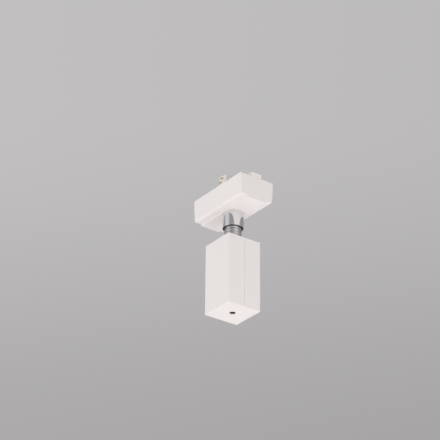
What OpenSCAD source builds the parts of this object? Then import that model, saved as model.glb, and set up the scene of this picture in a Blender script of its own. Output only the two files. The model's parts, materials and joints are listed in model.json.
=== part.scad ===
// Track light adapter: a plug-in head for a surface track, a swivel and a wiring block.
// Origin: on the swivel axis, in the plane of the track's underside. X runs along the track.

/* [Head] */
// Length of the head along the track
head_len = 65.7; // [60:0.1:90]
// Width of the head where it meets the track
head_w = 34; // [33:0.1:40]
// How much each long side leans in from the track to the ledges
head_draft = 1.5; // [0.5:0.1:2]
// Depth of the head from the track to the ledges
head_h = 19; // [18.8:0.1:26]
// How far the middle land stands below the ledges
land_h = 1.6; // [0.8:0.1:3]
// Radius of the long lower edges
head_edge_r = 1.3; // [0.5:0.1:1.8]
// Radius of the upright corners
head_corner_r = 1.2; // [0.5:0.1:2]
// Wall thickness of the head
head_wall = 2; // [1.6:0.1:2.2]
// Floor thickness of the head over the ledges
floor_t = 2; // [1.6:0.1:2.1]

/* [Lid] */
// Thickness of the lid
lid_t = 3; // [2.6:0.1:3.1]
// How far the lid lies below the head's rim
lid_sink = 0.2; // [0.1:0.05:0.5]
// Gap between the lid and the head's walls
lid_gap = 0.15; // [0.05:0.05:0.4]
// Width of the guide keys that stand in the track slot
key_w = 10.6; // [8:0.1:11]
// Height of the guide keys
key_h = 4.2; // [2.5:0.1:5]
// Distance from the axis to the inner end of a key
key_from = 15; // [14:0.5:22]
// Distance from the outer end of a key to the end of the head
key_inset = 0.35; // [0.35:0.05:4]
// Shank diameter of the lid screws
lid_screw_d = 2.5; // [2:0.1:3]
// Length of the lid screws
lid_screw_l = 11; // [9:0.5:12]

/* [Lock] */
// Diameter of the turret's journal in the lid
journal_d = 18; // [16:0.1:19]
// Radial running gap of the journal
journal_gap = 0.05; // [0.02:0.01:0.1]
// Diameter of the turret's neck in the track slot
neck_d = 10.4; // [9.6:0.1:10.8]
// Height of the underside of the ears
ear_z = 4.6; // [4.6:0.1:6]
// Height of the ears
ear_h = 7.4; // [6.6:0.1:9]
// Reach of each ear from the axis
ear_r = 12; // [10.5:0.1:13]
// Width of the ears, less than the track slot
ear_w = 10; // [8:0.1:10.6]
// How far a contact blade stands out of an ear
blade_out = 1; // [0.5:0.1:2]
// Thickness of a contact blade
blade_t = 0.8; // [0.5:0.1:1]
// Width of the live and earth blades
blade_w = 4.4; // [4:0.1:5]
// Width of the neutral blade
neutral_w = 3.4; // [3:0.1:3.6]
// Thickness of the lock lever
lever_t = 2.6; // [2:0.1:2.7]
// Reach of the lock lever from the axis
lever_reach = 25; // [24:0.1:28]
// Width of the lock lever
lever_w = 7; // [5:0.1:9]
// Up and down play of the turret and lever
lock_play = 0.15; // [0.1:0.05:0.25]
// Gap between the lever and its slot
lever_gap = 0.3; // [0.2:0.05:0.6]

/* [Swivel] */
// Outside diameter of the collar
collar_d = 17.8; // [16.6:0.1:20]
// Height of the collar below the land
collar_h = 13.6; // [8:0.1:16]
// Wall thickness of the collar
collar_wall = 0.8; // [0.6:0.05:1]
// Thickness of the collar's top
collar_top_t = 1.6; // [1.2:0.1:2.5]
// Diameter of the collar's threaded spigot
spigot_d = 13; // [12.4:0.1:13.6]
// Gap between the collar's rim and the nipple
rim_gap = 1; // [0.6:0.05:1.2]
// Visible length of the nipple between the collar and the block
nipple_len = 14.7; // [10:0.1:25]
// Diameter of the nipple's shank
shank_d = 9.9; // [9.4:0.1:10]
// Radial running gap of the shank in the collar
shank_gap = 0.05; // [0.02:0.01:0.1]
// Diameter of the wire way through the nipple
wireway_d = 7; // [5.8:0.1:7.4]
// Depth of the ring grooves
groove_depth = 0.4; // [0.2:0.05:0.6]
// Spacing of the ring grooves
groove_pitch = 2.8; // [2:0.1:3]
// Height of the lock nut
lock_nut_h = 3.5; // [3:0.1:3.6]
// Width across the flats of the lock nut
lock_nut_af = 19; // [17:0.1:19.6]
// Height of the retaining nut
top_nut_h = 2.6; // [2.2:0.1:2.8]
// Width across the flats of the retaining nut
top_nut_af = 14; // [13:0.1:15]
// Outer radius of the thrust washer
washer_r = 7.6; // [7:0.1:8]
// Axial gap between turning and fixed faces
turn_gap = 0.05; // [0.03:0.01:0.1]
// Diameter of the stop screw
stop_d = 3; // [2.5:0.1:3]

/* [Block] */
// Width and depth of the wiring block
block_w = 32.6; // [32:0.1:40]
// Height of the wiring block
block_h = 62.5; // [60:0.1:80]
// Wall thickness of the block
block_wall = 2.2; // [2:0.1:2.4]
// Radius of the block's upright corners
block_corner_r = 0.9; // [0.4:0.1:2]
// Width of the shadow line where the shells meet
seam_w = 0.25; // [0.2:0.05:0.6]
// Depth of the shadow line
seam_depth = 0.3; // [0.2:0.05:1]
// Diameter of the cord hole
cord_d = 5.4; // [4:0.1:7]
// Thickness of the cord hole's lip
hole_lip = 0.6; // [0.5:0.1:1.6]
// Step from the nipple in to its neck in the block's top
neck_step = 1.6; // [1:0.1:2]
// How far the flange's flats stand out of the nipple
flange_out = 1.4; // [1:0.1:2]
// Thickness of the nipple's flange
flange_t = 2.5; // [2:0.1:3]
// Shank diameter of the block's screws
block_screw_d = 2.8; // [2.4:0.1:3]

/* [Wiring] */
// Diameter of an insulated lead
lead_d = 2.2; // [1.8:0.1:2.2]
// Diameter of a bare conductor
core_d = 1.2; // [0.8:0.1:1.6]
// Gap between the terminal strip and the block's walls
strip_gap = 1.1; // [0.6:0.1:2]
// Plastic beyond the outer poles of the strip
strip_end = 5; // [4:0.1:6]
// Height of the terminal strip
strip_h = 12; // [11:0.1:14]
// Depth of the terminal strip
strip_d = 12; // [10:0.1:12]
// Drop from the block's inner top to the terminal strip
strip_drop = 20; // [18:0.5:22]
// Outside diameter of a terminal sleeve
sleeve_d = 4.2; // [3.8:0.1:4.6]
// Bore of a terminal sleeve
sleeve_bore = 2.8; // [2:0.1:3]
// Diameter of a terminal screw
pole_screw_d = 3; // [2.4:0.1:3.2]
// Shank diameter of the strip and clamp screws
small_d = 2.4; // [2:0.1:2.6]
// Diameter of the posts for those screws
post_d = 5.2; // [4.6:0.1:6]
// Height of the cord clamp over the block's inner floor
clamp_up = 12; // [10:0.5:14]
// Width of the cord clamp along the cord
clamp_w = 5; // [4:0.1:6]
// Thickness of the cord clamp
clamp_t = 2.6; // [2:0.1:3.2]

/* [Hidden] */
$fn = 64;
e = 0.01;

z_land = -head_h - land_h;
z_floor = -head_h + floor_t;
z_rim = z_land - collar_h;
z_block = z_rim - nipple_len;
z_bottom = z_block - block_h;
land_w = collar_d;

// The lock, from the lid down
z_flange = -lid_t - lock_play;
flange_h = 1.2;
z_lever = z_flange - flange_h - lever_t;
z_ring = z_lever - lock_play;
flange_r = journal_d / 2 + 2;
ring_in = lock_nut_af / sqrt(3) + 0.6;
ring_out = ring_in + 1.3;
hub_w = 12;
hollow_r = 2.6;
blade_z = ear_z + 1.4;
earth_z = blade_z + blade_t + 2.4;
lever_at = 135;
grip_r = 0.4;
slot_half = (head_w / 2) + lever_w / sqrt(2) + lever_gap + 0.4;

// The swivel, from the floor up
tooth_t = 0.8;
spring_h = 1;
disc_t = 0.4;
spring_r = washer_r - 0.2;
cross_w = 0.6;
washer_t = 0.6;
z_lock_nut = z_floor + tooth_t;
z_spigot = z_lock_nut + lock_nut_h + 0.3;
z_washer = z_spigot + turn_gap;
z_spring = z_washer + washer_t;
z_top_nut = z_spring + spring_h;
z_nipple = z_top_nut + top_nut_h + 0.3;
nipple_d = collar_d - 2 * collar_wall - 2 * rim_gap;
nip_neck_d = nipple_d - 2 * neck_step;
flange_af = nipple_d + 2 * flange_out;
z_shoulder = z_land - collar_top_t - 0.3;
collar_in_r = collar_d / 2 - collar_wall;
rim_r = collar_wall / 2;
bore_r = shank_d / 2 + shank_gap;
stop_z = z_shoulder - 4;
stop_in_r = nipple_d / 2 + 0.15;
lug_r = collar_in_r - 0.2;

// The lid
inner_half = head_w / 2 - head_wall - head_draft * lid_t / head_h;
lid_half_w = inner_half - lid_gap;
lid_half_l = head_len / 2 - head_wall - lid_gap;
screw_x = head_len / 2 - head_wall - 2.6;
screw_y = inner_half - 3.6;
lid_head_h = 1.5;

// The leads
lead_r = lead_d / 2;
lead_at = lead_r / cos(30) + 0.02;
lead_split = z_rim - 4;
split_gap = 0.3;

// Inside the block
in_half = block_w / 2 - block_wall;
z_in_top = z_block - block_wall;
z_in_bottom = z_bottom + block_wall;
pillar_r = block_screw_d / 2 + 1.3;
pillar_x = in_half - pillar_r - 0.2;
pillar_zs = [z_in_top - flange_t - pillar_r - 0.8, z_in_bottom + pillar_r + 1];
rib_t = 1.5;
rib_l = flange_af * 0.47;
screw_bite = 9;
cap_r = block_screw_d / 2 + 1.3;
cap_h = 1.6;
z_strip = z_in_top - strip_drop;
strip_w = 2 * (in_half - strip_gap);
pole_pitch = strip_w / 2 - strip_end;
pole_zs = [-strip_h / 4, -strip_h * 3 / 4];
z_fan = z_in_top - flange_t - 0.6;
z_entry = z_strip + strip_drop / 5;
z_clamp = z_in_bottom + clamp_up;
cord_gap = 0.2;
clamp_y = cord_d / 2 + cord_gap;
clamp_x = cord_d / 2 + post_d;
small_r = small_d / 2;
small_head_r = small_d * 0.85;
small_head_h = small_d * 0.6;
screw_reach = strip_d / 2;

module rounded_box_2d(w, d, r) {
    union() {
        square([w - 2 * r, d], center = true);
        square([w, d - 2 * r], center = true);
        for (x = [-1, 1], y = [-1, 1])
            translate([x * (w / 2 - r), y * (d / 2 - r)])
                circle(r);
    }
}

// A round bar along Y from y0 to y1
module bar_y(r, x, y0, y1, z) {
    translate([x, y0, z])
        rotate([-90, 0, 0])
            cylinder(r = r, h = y1 - y0);
}

module head_profile() {
    half_low = head_w / 2 - head_draft;
    union() {
        difference() {
            polygon([[-head_w / 2, 0], [head_w / 2, 0], [half_low, -head_h], [-half_low, -head_h]]);
            for (s = [-1, 1])
                translate([s * half_low, -head_h])
                    square(2 * head_edge_r, center = true);
        }
        for (s = [-1, 1])
            translate([s * (half_low - head_edge_r), -head_h + head_edge_r])
                circle(head_edge_r);
        translate([-half_low + head_edge_r, -head_h])
            square([2 * (half_low - head_edge_r), head_edge_r]);
        translate([-land_w / 2, z_land])
            square([land_w, land_h + e]);
    }
}

module along_x(length) {
    rotate([90, 0, 90])
        linear_extrude(length, center = true)
            children();
}

module head_solid() {
    intersection() {
        along_x(head_len)
            head_profile();
        translate([0, 0, z_land - 1])
            linear_extrude(-z_land + 2)
                rounded_box_2d(head_len, head_w, head_corner_r);
    }
}

module head_hollow() {
    half_low = head_w / 2 - head_draft * (head_h - floor_t) / head_h - head_wall;
    half_top = head_w / 2 - head_wall;
    along_x(head_len - 2 * head_wall)
        polygon([[-half_top, 0], [-half_top, 1], [half_top, 1], [half_top, 0],
            [half_low, z_floor], [-half_low, z_floor]]);
}

module housing() {
    color("white")
        difference() {
            union() {
                difference() {
                    head_solid();
                    head_hollow();
                }
                intersection() {
                    head_solid();
                    for (x = [-1, 1], y = [-1, 1])
                        translate([x * (screw_x + 5) - 8, y * (screw_y + 5) - 8, z_floor - 1])
                            cube([16, 16, -lid_t - z_floor + 1]);
                }
                translate([0, 0, z_floor - 1])
                    difference() {
                        cylinder(r = ring_out, h = z_ring - z_floor + 1);
                        translate([0, 0, -1])
                            cylinder(r = ring_in, h = z_ring - z_floor + 3);
                    }
            }
            translate([0, 0, z_land - 1])
                cylinder(d = spigot_d + 0.1, h = 8);
            translate([-slot_half, head_w / 2 - head_draft - head_wall - 1, z_lever - lever_gap])
                cube([2 * slot_half, 8, lever_t + 2 * lever_gap]);
            for (x = [-1, 1], y = [-1, 1])
                translate([x * screw_x, y * screw_y, z_floor + 1.5])
                    cylinder(d = lid_screw_d, h = 30);
            // the keys lie in a shallow notch in each end of the rim
            for (x = [-1, 1])
                translate([x * head_len / 2 - 4, -key_w / 2 - lid_gap, -lid_sink])
                    cube([8, key_w + 2 * lid_gap, 2]);
        }
}

module lid() {
    color("gainsboro")
        difference() {
            union() {
                translate([0, 0, -lid_t])
                    linear_extrude(lid_t - lid_sink)
                        rounded_box_2d(2 * lid_half_l, 2 * lid_half_w, 0.8);
                for (s = [-1, 1])
                    translate([s * (key_from + head_len / 2 - key_inset) / 2, 0, -1])
                        difference() {
                            linear_extrude(key_h + 1)
                                rounded_box_2d(head_len / 2 - key_inset - key_from, key_w, 1.2);
                            translate([0, 0, 2.4])
                                linear_extrude(key_h)
                                    rounded_box_2d(head_len / 2 - key_inset - key_from - 3.2, key_w - 3.2, 0.6);
                        }
            }
            translate([0, 0, -lid_t - 1])
                cylinder(r = journal_d / 2 + journal_gap, h = lid_t + 2);
            for (s = [-1, 1])
                translate([s * (head_len / 2 + lid_half_l + 2) / 2, 0, -lid_t - lid_sink])
                    cube([head_len / 2 - lid_half_l + 2, 40, 2 * lid_t], center = true);
            for (x = [-1, 1], y = [-1, 1])
                translate([x * screw_x, y * screw_y, -lid_t - 1]) {
                    cylinder(d = lid_screw_d + 0.3, h = lid_t + 2);
                    translate([0, 0, lid_t + 1 - lid_sink - lid_head_h])
                        cylinder(d = lid_screw_d * 2 + 0.2, h = lid_head_h + 1);
                }
        }
}

module lid_screws() {
    color("silver")
        for (x = [-1, 1], y = [-1, 1])
            translate([x * screw_x, y * screw_y, -lid_sink])
                difference() {
                    union() {
                        translate([0, 0, -lid_head_h])
                            cylinder(d = lid_screw_d * 2, h = lid_head_h - 0.1);
                        translate([0, 0, -lid_screw_l])
                            cylinder(d = lid_screw_d, h = lid_screw_l - lid_head_h + 0.1);
                    }
                    for (a = [0, 90])
                        rotate(a)
                            translate([0, 0, -0.1])
                                cube([lid_screw_d * 1.2, cross_w, lid_head_h], center = true);
                }
}

module collar() {
    color("lightsteelblue")
        difference() {
            rotate_extrude()
                polygon([[bore_r, z_spigot], [spigot_d / 2 - 0.4, z_spigot], [spigot_d / 2, z_spigot - 0.4],
                    [spigot_d / 2, z_land], [collar_d / 2 - 0.3, z_land], [collar_d / 2, z_land - 0.3],
                    for (a = [0 : 15 : 180])
                        [collar_d / 2 - rim_r + rim_r * cos(a), z_rim + rim_r - rim_r * sin(a)],
                    [collar_in_r, z_land - collar_top_t], [bore_r, z_land - collar_top_t]]);
            bar_y(stop_d / 2, 0, 2, collar_d, stop_z);
        }
}

module tooth_washer() {
    color("darkgray")
        translate([0, 0, z_floor])
            linear_extrude(tooth_t)
                difference() {
                    union() {
                        circle(lock_nut_af / 2 - 0.9);
                        for (a = [0 : 30 : 330])
                            rotate(a)
                                translate([lock_nut_af / 2 - 1.2, -0.9])
                                    square([1.5, 1.8]);
                    }
                    circle(spigot_d / 2 + 0.1);
                }
}

module lock_nut() {
    color("goldenrod")
        translate([0, 0, z_lock_nut])
            difference() {
                cylinder(d = lock_nut_af * 2 / sqrt(3), h = lock_nut_h, $fn = 6);
                translate([0, 0, -1])
                    cylinder(d = spigot_d, h = lock_nut_h + 2);
            }
}

module stop_screw() {
    color("dimgray")
        difference() {
            bar_y(stop_d / 2, 0, stop_in_r, collar_d / 2 - 0.15, stop_z);
            bar_y(0.75, 0, collar_d / 2 - 1, collar_d, stop_z);
        }
}

module blade_2d(width, inner) {
    tip = ear_r + blade_out;
    union() {
        translate([-width / 2, inner])
            square([width, tip - width / 2 - inner]);
        translate([0, tip - width / 2])
            circle(width / 2);
    }
}

module live_blade() {
    color("orange")
        translate([0, 0, blade_z])
            linear_extrude(blade_t)
                blade_2d(blade_w, lead_at - lead_r + 0.4);
}

module neutral_blade() {
    color("orange")
        translate([-1.9, 0, blade_z])
            linear_extrude(blade_t)
                mirror([0, 1])
                    blade_2d(neutral_w, 0.15);
}

module earth_blade() {
    color("orange")
        translate([0, 0, earth_z])
            linear_extrude(blade_t)
                mirror([0, 1])
                    blade_2d(blade_w, 0.15);
}

module turret() {
    color("whitesmoke")
        difference() {
            union() {
                translate([-hub_w / 2, -hub_w / 2, z_lever])
                    cube([hub_w, hub_w, lever_t + e]);
                translate([0, 0, z_lever + lever_t])
                    cylinder(r = flange_r, h = flange_h);
                translate([0, 0, z_flange - e])
                    cylinder(d = journal_d, h = -z_flange - lid_sink + e);
                translate([0, 0, -0.5])
                    cylinder(d = neck_d, h = ear_z + 1);
                intersection() {
                    translate([0, 0, ear_z])
                        cylinder(r = ear_r, h = ear_h);
                    translate([-ear_w / 2, -ear_r - 1, ear_z])
                        cube([ear_w, 2 * ear_r + 2, ear_h]);
                }
            }
            translate([0, 0, z_lever - 1])
                cylinder(r = hollow_r, h = earth_z + blade_t - z_lever + 1);
            live_blade();
            neutral_blade();
            earth_blade();
        }
}

module lock_lever() {
    color("tomato")
        translate([0, 0, z_lever])
            linear_extrude(lever_t)
                difference() {
                    union() {
                        circle(ring_out);
                        rotate(lever_at)
                            translate([0, -lever_w / 2])
                                square([lever_reach - 2, lever_w]);
                        rotate(lever_at)
                            translate([lever_reach - 3, 0])
                                rounded_box_2d(6, lever_w, 2);
                    }
                    square(hub_w, center = true);
                    for (k = [-1 : 1])
                        rotate(lever_at)
                            translate([lever_reach, k * lever_w / 6])
                                circle(grip_r);
                }
}

function lead_xy(a) = [lead_at * cos(a), lead_at * sin(a)];

module upper_lead(a, top) {
    p = lead_xy(a);
    translate([p[0], p[1], lead_split])
        cylinder(r = lead_r, h = top - lead_split);
}

module upper_live() {
    color("saddlebrown")
        upper_lead(90, blade_z);
}

module upper_neutral() {
    color("steelblue")
        upper_lead(210, blade_z);
}

module upper_earth() {
    color("yellowgreen")
        upper_lead(330, earth_z);
}

module nipple() {
    r = nipple_d / 2;
    groove_n = floor((nipple_len - 3) / groove_pitch);
    color("silver")
        union() {
            difference() {
                rotate_extrude()
                    polygon([[wireway_d / 2, z_nipple], [shank_d / 2 - 0.4, z_nipple],
                        [shank_d / 2, z_nipple - 0.4], [shank_d / 2, z_shoulder], [r - 0.5, z_shoulder],
                        [r, z_shoulder - 0.5], [r, z_block], [nip_neck_d / 2, z_block],
                        [nip_neck_d / 2, z_in_top - e], [wireway_d / 2, z_in_top - e]]);
                for (i = [0 : groove_n - 1])
                    translate([0, 0, z_rim - 1.6 - i * groove_pitch])
                        rotate_extrude()
                            polygon([[r + 1, 0.7], [r, 0.7], [r - groove_depth, 0.3],
                                [r - groove_depth, -0.3], [r, -0.7], [r + 1, -0.7]]);
            }
            translate([0, 0, z_in_top - flange_t])
                difference() {
                    rotate(30)
                        cylinder(d = flange_af * 2 / sqrt(3), h = flange_t, $fn = 6);
                    translate([0, 0, -1])
                        cylinder(d = wireway_d, h = flange_t + 2);
                }
            difference() {
                translate([0, -lug_r, stop_z])
                    intersection() {
                        translate([-0.9, 0, -stop_d / 2])
                            cube([1.8, lug_r - r + 1, stop_d]);
                        translate([0, lug_r, -stop_d])
                            cylinder(r = lug_r, h = 2 * stop_d);
                    }
                translate([0, 0, stop_z - stop_d])
                    cylinder(r = r - 0.2, h = 2 * stop_d);
            }
        }
}

module thrust_washer() {
    color("khaki")
        translate([0, 0, z_washer])
            difference() {
                cylinder(r = washer_r, h = washer_t);
                translate([0, 0, -1])
                    cylinder(d = shank_d, h = washer_t + 2);
            }
}

module disc_spring() {
    color("slategray")
        rotate_extrude()
            polygon([[shank_d / 2, z_spring + spring_h - disc_t], [spring_r - 0.8, z_spring],
                [spring_r, z_spring], [spring_r, z_spring + disc_t], [spring_r - 1.5, z_spring + spring_h],
                [shank_d / 2, z_spring + spring_h]]);
}

module top_nut() {
    color("goldenrod")
        translate([0, 0, z_top_nut])
            difference() {
                cylinder(d = top_nut_af * 2 / sqrt(3), h = top_nut_h, $fn = 6);
                translate([0, 0, -1])
                    cylinder(d = shank_d, h = top_nut_h + 2);
            }
}

module shell_2d(side) {
    intersection() {
        difference() {
            rounded_box_2d(block_w, block_w, block_corner_r);
            for (x = [-1, 1])
                translate([x * block_w / 2, 0])
                    square([2 * seam_depth, seam_w], center = true);
        }
        translate([-block_w, side > 0 ? 0 : -block_w])
            square([2 * block_w, block_w]);
    }
}

module shell(side) {
    difference() {
        translate([0, 0, z_bottom])
            linear_extrude(block_h)
                shell_2d(side);
        translate([-in_half, -in_half, z_in_bottom])
            cube([2 * in_half, 2 * in_half, z_in_top - z_in_bottom]);
    }
    // ribs that hold the flats of the nipple's flange
    for (x = [-1, 1])
        translate([x * (flange_af + rib_t) / 2 - rib_t / 2, side > 0 ? 0 : -rib_l, z_in_top - flange_t])
            cube([rib_t, rib_l, flange_t + e]);
}

module top_and_bottom_holes() {
    translate([0, 0, z_in_top - 1])
        cylinder(d = nip_neck_d, h = block_wall + 2);
    translate([0, 0, z_bottom - 1])
        cylinder(d = cord_d, h = block_wall + 2);
    // eased on the inside, so that the cord does not chafe
    translate([0, 0, z_bottom + hole_lip])
        cylinder(r1 = cord_d / 2, r2 = cord_d / 2 + block_wall - hole_lip, h = block_wall - hole_lip);
}

module front_shell() {
    color("white")
        difference() {
            union() {
                shell(-1);
                for (x = [-1, 1], z = pillar_zs)
                    bar_y(pillar_r, x * pillar_x, -in_half - 1, 0, z);
                for (x = [-1, 1])
                    bar_y(post_d / 2, x * pole_pitch / 2, -in_half - 1, -strip_d / 2, z_strip - strip_h / 2);
                for (x = [-1, 1])
                    bar_y(post_d / 2, x * clamp_x, -in_half - 1, clamp_y, z_clamp);
                translate([-cord_d / 2 - 1, -in_half - 1, z_clamp - clamp_w / 2])
                    cube([cord_d + 2, in_half + 1 - clamp_y, clamp_w]);
            }
            top_and_bottom_holes();
            for (x = [-1, 1], z = pillar_zs)
                bar_y(block_screw_d / 2, x * pillar_x, -screw_bite, 1, z);
            for (x = [-1, 1])
                bar_y(small_r, x * pole_pitch / 2, -strip_d / 2 - screw_reach - 0.5, 0, z_strip - strip_h / 2);
            for (x = [-1, 1])
                bar_y(small_r, x * clamp_x, clamp_y - screw_reach - 0.5, clamp_y + 1, z_clamp);
        }
}

module rear_shell() {
    color("gainsboro")
        difference() {
            union() {
                shell(1);
                for (x = [-1, 1], z = pillar_zs)
                    bar_y(pillar_r, x * pillar_x, 0, in_half + 1, z);
            }
            top_and_bottom_holes();
            for (x = [-1, 1], z = pillar_zs) {
                bar_y(block_screw_d / 2 + 0.15, x * pillar_x, -1, block_w, z);
                bar_y(cap_r + 0.15, x * pillar_x, block_w / 2 - cap_h - 0.1, block_w, z);
            }
        }
}

module cap_screw(x, z, seat, head_r, head_h, shank_r, end) {
    difference() {
        union() {
            bar_y(head_r, x, seat, seat + head_h, z);
            bar_y(shank_r, x, end, seat + e, z);
        }
        for (a = [0, 90])
            translate([x, seat + head_h, z])
                rotate([0, a, 0])
                    cube([head_r * 1.2, head_h, cross_w], center = true);
    }
}

module cover_screws() {
    color("silver")
        for (x = [-1, 1], z = pillar_zs)
            cap_screw(x * pillar_x, z, block_w / 2 - cap_h - 0.1, cap_r, cap_h, block_screw_d / 2, -screw_bite + 1);
}

module pole_places() {
    for (i = [-1 : 1])
        translate([i * pole_pitch, 0, z_strip])
            children();
}

module terminal_strip() {
    color("ivory")
        difference() {
            translate([-strip_w / 2, -strip_d / 2, z_strip - strip_h])
                cube([strip_w, strip_d, strip_h]);
            pole_places() {
                translate([0, 0, -strip_h - 1])
                    cylinder(d = sleeve_d, h = strip_h + 2);
                for (z = pole_zs)
                    bar_y(pole_screw_d / 2 + 0.2, 0, 0, strip_d, z);
            }
            for (x = [-1, 1]) {
                bar_y(small_r + 0.1, x * pole_pitch / 2, -strip_d, strip_d, z_strip - strip_h / 2);
                translate([x * pole_pitch / 2, strip_d / 2, z_strip - strip_h / 2])
                    for (s = [-1, 1])
                        translate([0, 0, s * (strip_h / 4 + 1.5)])
                            cube([0.8, 3, strip_h / 2 - 3], center = true);
            }
        }
}

module strip_screws() {
    color("silver")
        for (x = [-1, 1])
            cap_screw(x * pole_pitch / 2, z_strip - strip_h / 2, strip_d / 2, small_head_r, small_head_h, small_r,
                -strip_d / 2 - screw_reach);
}

module terminal_sleeves() {
    color("gold")
        pole_places()
            difference() {
                translate([0, 0, -strip_h + 0.5])
                    cylinder(d = sleeve_d, h = strip_h - 1);
                translate([0, 0, -strip_h - 1])
                    cylinder(d = sleeve_bore, h = strip_h + 2);
                for (z = pole_zs)
                    bar_y(pole_screw_d / 2, 0, 0, strip_d, z);
            }
}

module terminal_screws() {
    color("silver")
        pole_places()
            for (z = pole_zs)
                difference() {
                    bar_y(pole_screw_d / 2, 0, core_d / 2, strip_d / 2 - 0.6, z);
                    translate([0, strip_d / 2 - 0.6, z])
                        cube([pole_screw_d + 1, 1.6, cross_w], center = true);
                }
}

module cord_clamp() {
    color("ivory")
        difference() {
            translate([-clamp_x - post_d * 0.65, clamp_y, z_clamp - clamp_w / 2])
                cube([2 * clamp_x + post_d * 1.3, clamp_t, clamp_w]);
            for (x = [-1, 1])
                bar_y(small_r + 0.2, x * clamp_x, 0, clamp_y + clamp_t + 1, z_clamp);
        }
}

module clamp_screws() {
    color("silver")
        for (x = [-1, 1])
            cap_screw(x * clamp_x, z_clamp, clamp_y + clamp_t, small_head_r, small_head_h, small_r, clamp_y - screw_reach);
}

// A lead that runs straight down, swings over to its pole in an S and ends in a bare core
module lower_lead(a, pole) {
    p = lead_xy(a);
    over = [pole * pole_pitch, 0] - p;
    d = norm(over);
    drop = z_fan - z_entry;
    z_seat = z_strip - 0.5;
    z_tip = z_strip - strip_h / 2 + 1;
    steps = 12;
    sides = 12;
    u = [0, for (j = [0 : steps]) j / steps, 1, 1, 1];
    z = [lead_split - split_gap, for (j = [0 : steps]) z_fan - drop * j / steps, z_seat, z_seat, z_tip];
    r = [lead_r, for (j = [0 : steps]) lead_r, lead_r, core_d / 2, core_d / 2];
    n = [-over[1] / d, over[0] / d, 0];
    last = len(u) - 1;
    points = [for (i = [0 : last])
        let (w = u[i] * u[i] * (3 - 2 * u[i]))
        let (lean = 6 * u[i] * (1 - u[i]) / drop)
        let (t = [over[0] * lean, over[1] * lean, -1])
        let (m = cross(t / norm(t), n))
        for (k = [0 : sides - 1])
            [p[0] + over[0] * w, p[1] + over[1] * w, z[i]]
                + r[i] * (cos(k * 360 / sides) * n + sin(k * 360 / sides) * m)];
    walls = [for (i = [0 : last - 1]) for (k = [0 : sides - 1])
        let (k2 = (k + 1) % sides)
        [i * sides + k, (i + 1) * sides + k, (i + 1) * sides + k2, i * sides + k2]];
    head_cap = [for (k = [0 : sides - 1]) k];
    tail_cap = [for (k = [0 : sides - 1]) last * sides + sides - 1 - k];
    polyhedron(points, concat(walls, [head_cap, tail_cap]));
}

module lower_live() {
    color("saddlebrown")
        lower_lead(90, 0);
}

module lower_neutral() {
    color("steelblue")
        lower_lead(210, -1);
}

module lower_earth() {
    color("yellowgreen")
        lower_lead(330, 1);
}

housing();
lid();
lid_screws();
collar();
tooth_washer();
lock_nut();
stop_screw();
turret();
live_blade();
neutral_blade();
earth_blade();
lock_lever();
upper_live();
upper_neutral();
upper_earth();
nipple();
thrust_washer();
disc_spring();
top_nut();
front_shell();
rear_shell();
cover_screws();
terminal_strip();
strip_screws();
terminal_sleeves();
terminal_screws();
cord_clamp();
clamp_screws();
lower_live();
lower_neutral();
lower_earth();
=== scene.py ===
import bpy
import json
import math
from mathutils import Matrix, Vector

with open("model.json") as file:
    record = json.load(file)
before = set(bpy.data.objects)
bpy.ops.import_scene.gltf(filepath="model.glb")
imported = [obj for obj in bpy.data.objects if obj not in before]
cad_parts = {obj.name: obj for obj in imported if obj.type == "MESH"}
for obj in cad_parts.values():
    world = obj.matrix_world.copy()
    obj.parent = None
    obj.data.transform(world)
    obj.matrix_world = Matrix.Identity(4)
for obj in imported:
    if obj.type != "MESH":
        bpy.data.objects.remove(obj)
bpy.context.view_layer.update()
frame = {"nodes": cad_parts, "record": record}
nodes = frame["nodes"]
scene = bpy.context.scene
scene.view_settings.view_transform = "Standard"
mm = 0.001
print("frame loaded:", len(nodes), "nodes")

# camera fitted to the edges of the head and the block, lengths in mm, roll in degrees
camera = {
    "place": (1249.563, -926.763, -847.538),
    "ahead": (-0.7139, 0.5218, 0.4671),
    "right": (0.5901, 0.8074, 0.0),
    "roll": 0.55,
    "lens": 172.9,
    "sensor": 36.0,
    "clip": (50, 30000),
}


def makeCamera(c):
    ahead = Vector(c["ahead"]).normalized()
    right = Vector(c["right"]).normalized()
    up = right.cross(ahead)
    roll = math.radians(c["roll"])
    side = right * math.cos(roll) + up * math.sin(roll)
    top = up * math.cos(roll) - right * math.sin(roll)
    turn = Matrix((side, top, -ahead)).transposed()
    data = bpy.data.cameras.new("lookUp")
    data.lens = c["lens"]
    data.sensor_width = c["sensor"]
    data.clip_start, data.clip_end = (v * mm for v in c["clip"])
    obj = bpy.data.objects.new("lookUp", data)
    scene.collection.objects.link(obj)
    obj.matrix_world = Matrix.Translation(Vector(c["place"]) * mm) @ turn.to_4x4()
    scene.camera = obj
    return ahead, side, top


ahead, side, top = makeCamera(camera)
print("camera set")


# node helpers: what is fed in is a plain value or the output of another node
def feed(tree, socket, value):
    if isinstance(value, bpy.types.NodeSocket):
        tree.links.new(value, socket)
    else:
        socket.default_value = value


def mathNode(tree, operation, a, b):
    n = tree.nodes.new("ShaderNodeMath")
    n.operation = operation
    feed(tree, n.inputs[0], a)
    feed(tree, n.inputs[1], b)
    return n.outputs["Value"]


def vectorNode(tree, operation, a, b=None):
    n = tree.nodes.new("ShaderNodeVectorMath")
    n.operation = operation
    feed(tree, n.inputs[0], a)
    if b is not None:
        feed(tree, n.inputs[1], b)
    return n.outputs["Value" if operation in ("DOT_PRODUCT", "LENGTH") else "Vector"]


def along(tree, way, axis):
    return vectorNode(tree, "DOT_PRODUCT", way, axis)


def level(tree, way):  # the same way without its height
    return vectorNode(tree, "MULTIPLY", way, (1, 1, 0))


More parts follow.
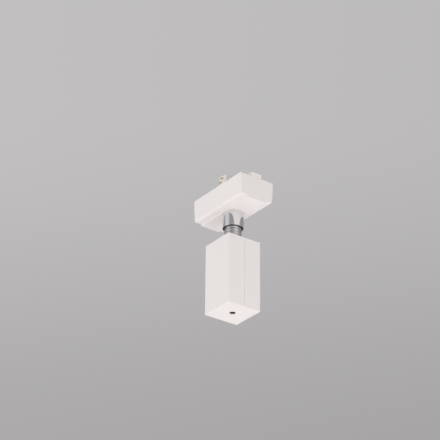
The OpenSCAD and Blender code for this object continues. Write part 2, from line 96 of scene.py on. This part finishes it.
def remap(tree, value, span, to=(0, 1), smooth=False):
    n = tree.nodes.new("ShaderNodeMapRange")
    n.interpolation_type = "SMOOTHSTEP" if smooth else "LINEAR"
    n.inputs["From Min"].default_value, n.inputs["From Max"].default_value = span
    n.inputs["To Min"].default_value, n.inputs["To Max"].default_value = to
    feed(tree, n.inputs["Value"], value)
    return n.outputs["Result"]


def blend(tree, share, a, b):
    n = tree.nodes.new("ShaderNodeMix")
    feed(tree, n.inputs["Factor"], share)
    feed(tree, n.inputs["A"], a)
    feed(tree, n.inputs["B"], b)
    return n.outputs["Result"]


def twoTone(tree, share, colours):
    n = tree.nodes.new("ShaderNodeMix")
    n.data_type = "RGBA"
    feed(tree, n.inputs["Factor"], share)
    feed(tree, n.inputs["A"], (*colours[0], 1))
    feed(tree, n.inputs["B"], (*colours[1], 1))
    return n.outputs["Result"]


def mixShader(tree, share, a, b):
    n = tree.nodes.new("ShaderNodeMixShader")
    feed(tree, n.inputs[0], share)
    feed(tree, n.inputs[1], a)
    feed(tree, n.inputs[2], b)
    return n.outputs["Shader"]


# grey backdrop for the camera and reflections, even fill for all other light
studio = {
    "backColours": ((0.397, 0.387, 0.392), (0.525, 0.513, 0.519)),  # low and high
    "backSpan": (-0.125, 0.055),  # of the backdrop's height
    "swaySpan": (-0.1, 0.1),  # of its width
    "sway": (1.02, 0.96),  # strength at its left and right
    "dimCore": (0.985, 0.998),  # fully lit straight behind the object
    "dimTo": 0.66,  # strength of reflections away from that core
    "glow": [  # tall soft panels round the object, seen in reflections only
        {"toward": (-0.278, -0.961, 0), "spread": (0.79, 1.0), "level": 0.68},
        {"toward": (0.990, 0.140, 0), "spread": (0.72, 1.0), "level": 0.85},
    ],
    "lowSpan": (-0.15, -0.45),  # the panels grow stronger below the horizon
    "lowGain": 3.0,
    "fill": 0.745,
    "fillColour": (1, 0.99, 0.985),
    "lean": (-0.42, -0.08, -0.12),  # the fill is stronger from the left and a little from below
}


def background(tree, colour, strength):
    n = tree.nodes.new("ShaderNodeBackground")
    feed(tree, n.inputs["Color"], colour)
    feed(tree, n.inputs["Strength"], strength)
    return n.outputs["Background"]


def makeStudio(s):
    world = bpy.data.worlds.new("studio")
    scene.world = world
    world.use_nodes = True
    tree = world.node_tree
    tree.nodes.clear()
    way = tree.nodes.new("ShaderNodeTexCoord").outputs["Generated"]
    path = tree.nodes.new("ShaderNodeLightPath")
    inView = path.outputs["Is Camera Ray"]
    inShine = path.outputs["Is Glossy Ray"]
    rise = remap(tree, along(tree, way, top), s["backSpan"], smooth=True)
    sway = remap(tree, along(tree, way, side), s["swaySpan"], s["sway"])
    shine = remap(tree, along(tree, way, ahead), s["dimCore"], (s["dimTo"], 1), smooth=True)
    heading = vectorNode(tree, "NORMALIZE", level(tree, way))
    height = along(tree, way, (0, 0, 1))
    lower = remap(tree, height, s["lowSpan"], (1, s["lowGain"]))
    for g in s["glow"]:
        facing = along(tree, heading, Vector(g["toward"]).normalized())
        panel = remap(tree, facing, g["spread"], (0, g["level"]), smooth=True)
        shine = mathNode(tree, "ADD", shine, mathNode(tree, "MULTIPLY", panel, lower))
    backTone = twoTone(tree, rise, s["backColours"])
    back = background(tree, backTone, blend(tree, inView, shine, sway))
    fillPower = mathNode(tree, "ADD", along(tree, way, s["lean"]), s["fill"])
    fill = background(tree, (*s["fillColour"], 1), fillPower)
    seen = mathNode(tree, "MAXIMUM", inView, inShine)
    out = tree.nodes.new("ShaderNodeOutputWorld")
    feed(tree, out.inputs["Surface"], mixShader(tree, seen, fill, back))


makeStudio(studio)

# lamps round the object, places and sizes in m
lampBase = {"aim": (0, 0, -0.055), "colour": (1, 0.99, 0.98)}
lamps = {
    "lowLamp": {"from": (0.45, -0.15, -0.88), "far": 1.5, "size": 0.9, "power": 2.9, "inShine": True},
    "endLamp": {"from": (0.90, 0.20, -0.35), "far": 1.5, "size": 1.3, "power": 9.5, "inShine": False},
    "nearLamp": {"from": (0.20, -0.90, -0.40), "far": 1.5, "size": 1.3, "power": 4.4, "inShine": False},
    "backLamp": {"from": (-0.45, 0.84, 0.30), "far": 2.0, "size": 1.4, "power": 6.5, "inShine": False},
    "topLamp": {"from": (-0.25, 0.35, 0.90), "far": 2.2, "size": 1.6, "power": 9.0, "inShine": True},
}


def makeLamp(name, k):
    data = bpy.data.lights.new(name, "AREA")
    data.shape = "DISK"
    data.size = k["size"]
    data.energy = k["power"]
    data.color = lampBase["colour"]
    obj = bpy.data.objects.new(name, data)
    scene.collection.objects.link(obj)
    way = Vector(k["from"]).normalized()
    obj.location = Vector(lampBase["aim"]) + way * k["far"]
    obj.rotation_mode = "QUATERNION"
    obj.rotation_quaternion = (-way).to_track_quat("-Z", "Y")
    obj.visible_camera = False
    obj.visible_glossy = k["inShine"]


for name, k in lamps.items():
    makeLamp(name, k)
print("backdrop and lamps set:", len(lamps), "lamps")


# parts of the finishes
def newMaterial(name):
    mat = bpy.data.materials.new(name)
    mat.use_nodes = True
    tree = mat.node_tree
    tree.nodes.clear()
    skin = tree.nodes.new("ShaderNodeBsdfPrincipled")
    out = tree.nodes.new("ShaderNodeOutputMaterial")
    feed(tree, out.inputs["Surface"], skin.outputs["BSDF"])
    place = tree.nodes.new("ShaderNodeTexCoord").outputs["Object"]
    return mat, tree, skin, place


def noise(tree, place, scale, detail=2):
    n = tree.nodes.new("ShaderNodeTexNoise")
    n.inputs["Scale"].default_value = scale
    n.inputs["Detail"].default_value = detail
    feed(tree, n.inputs["Vector"], place)
    return n.outputs["Fac"]


noiseSpan = (0.3, 0.7)  # most of the noise lies between these


def uneven(tree, value, to):
    return remap(tree, value, noiseSpan, to)


def bump(tree, height, strength, depth):  # depth in mm
    n = tree.nodes.new("ShaderNodeBump")
    n.inputs["Strength"].default_value = strength
    n.inputs["Distance"].default_value = depth * mm
    feed(tree, n.inputs["Height"], height)
    return n.outputs["Normal"]


# plastics: two close colours in soft clouds, uneven roughness and a fine grain
mouldWork = {"clouds": 45, "patches": 320, "detail": 3, "bump": 0.25}
plastics = {
    "white_plastic": {
        "colours": ((0.835, 0.795, 0.790), (0.855, 0.815, 0.810)),
        "rough": (0.46, 0.52), "grain": 2600, "depth": 0.02, "gloss": 0.30,
    },
    "inner_plastic": {
        "colours": ((0.760, 0.745, 0.715), (0.800, 0.785, 0.755)),
        "rough": (0.48, 0.58), "grain": 2200, "depth": 0.02, "gloss": 0.45,
    },
    "strip_plastic": {
        "colours": ((0.770, 0.730, 0.600), (0.810, 0.775, 0.650)),
        "rough": (0.45, 0.55), "grain": 2000, "depth": 0.02, "gloss": 0.45,
    },
    "nylon": {
        "colours": ((0.800, 0.770, 0.660), (0.840, 0.810, 0.700)),
        "rough": (0.32, 0.42), "grain": 1800, "depth": 0.01, "gloss": 0.5,
    },
    "brown_sheath": {
        "colours": ((0.105, 0.040, 0.014), (0.125, 0.050, 0.018)),
        "rough": (0.42, 0.52), "grain": 1500, "depth": 0.02, "gloss": 0.4,
    },
    "blue_sheath": {
        "colours": ((0.014, 0.075, 0.310), (0.018, 0.088, 0.350)),
        "rough": (0.42, 0.52), "grain": 1500, "depth": 0.02, "gloss": 0.4,
    },
}


def mouldedPlastic(name, p):
    work = mouldWork
    mat, tree, skin, place = newMaterial(name)
    clouds = noise(tree, place, work["clouds"], work["detail"])
    patches = noise(tree, place, work["patches"], work["detail"])
    grain = noise(tree, place, p["grain"])
    feed(tree, skin.inputs["Base Color"], twoTone(tree, clouds, p["colours"]))
    feed(tree, skin.inputs["Roughness"], uneven(tree, patches, p["rough"]))
    feed(tree, skin.inputs["Normal"], bump(tree, grain, work["bump"], p["depth"]))
    skin.inputs["Specular IOR Level"].default_value = p["gloss"]
    return mat


# metals: uneven polish and the fine rings that a lathe leaves round the axis
turnWork = {
    "clouds": 90, "cloudDetail": 3,
    "patches": 600, "patchDetail": 4,
    "rings": 9000, "stretch": (0.02, 0.02, 1), "bump": 0.12, "depth": 0.004,
}
metals = {
    "chrome": {"colours": ((0.78, 0.78, 0.79), (0.82, 0.82, 0.83)), "rough": (0.05, 0.10)},
    "steel": {"colours": ((0.56, 0.56, 0.57), (0.64, 0.64, 0.65)), "rough": (0.24, 0.34)},
    "nickel": {"colours": ((0.61, 0.61, 0.60), (0.67, 0.67, 0.66)), "rough": (0.28, 0.36)},
    "spring_steel": {"colours": ((0.34, 0.35, 0.37), (0.42, 0.43, 0.45)), "rough": (0.28, 0.38)},
    "brass": {"colours": ((0.70, 0.48, 0.17), (0.78, 0.56, 0.22)), "rough": (0.20, 0.32)},
}


def turnedMetal(name, m):
    work = turnWork
    mat, tree, skin, place = newMaterial(name)
    clouds = noise(tree, place, work["clouds"], work["cloudDetail"])
    patches = noise(tree, place, work["patches"], work["patchDetail"])
    stretch = tree.nodes.new("ShaderNodeMapping")
    stretch.inputs["Scale"].default_value = work["stretch"]
    feed(tree, stretch.inputs["Vector"], place)
    rings = noise(tree, stretch.outputs["Vector"], work["rings"])
    feed(tree, skin.inputs["Base Color"], twoTone(tree, clouds, m["colours"]))
    feed(tree, skin.inputs["Roughness"], uneven(tree, patches, m["rough"]))
    feed(tree, skin.inputs["Normal"], bump(tree, rings, work["bump"], work["depth"]))
    skin.inputs["Metallic"].default_value = 1
    return mat


# green and yellow earth lead
earthSheath = {
    "colours": ((0.045, 0.250, 0.040), (0.640, 0.520, 0.020)),
    "stripes": 180, "waver": 0.4,
    "patches": 400, "patchDetail": 3, "rough": (0.42, 0.52),
    "grain": 1500, "bump": 0.25, "depth": 0.02,
}


def stripedSheath(name, e):
    mat, tree, skin, place = newMaterial(name)
    stripes = tree.nodes.new("ShaderNodeTexWave")
    stripes.bands_direction = "X"
    stripes.inputs["Scale"].default_value = e["stripes"]
    stripes.inputs["Distortion"].default_value = e["waver"]
    feed(tree, stripes.inputs["Vector"], place)
    patches = noise(tree, place, e["patches"], e["patchDetail"])
    grain = noise(tree, place, e["grain"])
    feed(tree, skin.inputs["Base Color"], twoTone(tree, stripes.outputs["Fac"], e["colours"]))
    feed(tree, skin.inputs["Roughness"], uneven(tree, patches, e["rough"]))
    feed(tree, skin.inputs["Normal"], bump(tree, grain, e["bump"], e["depth"]))
    return mat


finishes = {name: mouldedPlastic(name, p) for name, p in plastics.items()}
finishes.update({name: turnedMetal(name, m) for name, m in metals.items()})
finishes["earth_sheath"] = stripedSheath("earth_sheath", earthSheath)
for part in frame["record"]["subparts"]:
    obj = nodes[part["node"]]
    obj.data.materials.clear()
    obj.data.materials.append(finishes[part["material_slot"]])
print("finishes:", len(finishes))

# broken edges in mm, as wide as each piece's narrowest step allows
edges = {
    "housing": 0.04, "lid": 0.06, "collar": 0.03, "nipple": 0.12, "front_shell": 0.06, "rear_shell": 0.06,
    "turret": 0.04, "lock_lever": 0.05, "cover_screws": 0.12, "lid_screws": 0.12, "stop_screw": 0.10,
}
edgeWork = {
    "weld": 0.03,  # mm
    "flatAngle": 0.6,  # degrees, faces closer than this are one flat
    "sharpAngle": 40,  # degrees, only sharper edges are broken
    "segments": 3,
    "faceWeight": 80,
}


def breakEdges(obj, width):
    work = edgeWork
    weld = obj.modifiers.new("weld", "WELD")
    weld.merge_threshold = work["weld"] * mm
    flat = obj.modifiers.new("flat", "DECIMATE")
    flat.decimate_type = "DISSOLVE"
    flat.angle_limit = math.radians(work["flatAngle"])
    soft = obj.modifiers.new("edge", "BEVEL")
    soft.width = width * mm
    soft.segments = work["segments"]
    soft.limit_method = "ANGLE"
    soft.angle_limit = math.radians(work["sharpAngle"])
    soft.use_clamp_overlap = False
    soft.miter_outer = "MITER_ARC"
    even = obj.modifiers.new("even", "WEIGHTED_NORMAL")
    even.keep_sharp = False
    even.weight = work["faceWeight"]


for node, width in edges.items():
    breakEdges(nodes[node], width)
print("edges broken:", len(edges))

# pale round floor far below, lengths in m
floorLook = {
    "drop": 1.6,
    "radius": 2.4,
    "corners": 96,
    "fade": (0.8, 2.2),  # it melts into the backdrop between these radii
    "colour": (0.86, 0.85, 0.84),
    "shade": 0.97,  # of the darker clouds in it
    "clouds": 3,
    "rough": 0.75,
    "gloss": 0.2,
}


def layFloor(f):
    corners = range(f["corners"])
    angles = [2 * math.pi * i / f["corners"] for i in corners]
    rim = [(f["radius"] * math.cos(a), f["radius"] * math.sin(a), -f["drop"]) for a in angles]
    mesh = bpy.data.meshes.new("floor")
    mesh.from_pydata(rim, [], [list(corners)])
    floor = bpy.data.objects.new("floor", mesh)
    scene.collection.objects.link(floor)
    mat, tree, skin, place = newMaterial("paleFloor")
    darker = [f["shade"] * v for v in f["colour"]]
    clouds = noise(tree, place, f["clouds"])
    feed(tree, skin.inputs["Base Color"], twoTone(tree, clouds, (f["colour"], darker)))
    skin.inputs["Roughness"].default_value = f["rough"]
    skin.inputs["Specular IOR Level"].default_value = f["gloss"]
    away = vectorNode(tree, "LENGTH", level(tree, place))
    fade = remap(tree, away, f["fade"], smooth=True)
    clear = tree.nodes.new("ShaderNodeBsdfTransparent")
    surface = mixShader(tree, fade, skin.outputs["BSDF"], clear.outputs["BSDF"])
    feed(tree, tree.get_output_node("ALL").inputs["Surface"], surface)
    mesh.materials.append(mat)


layFloor(floorLook)
print("floor laid")
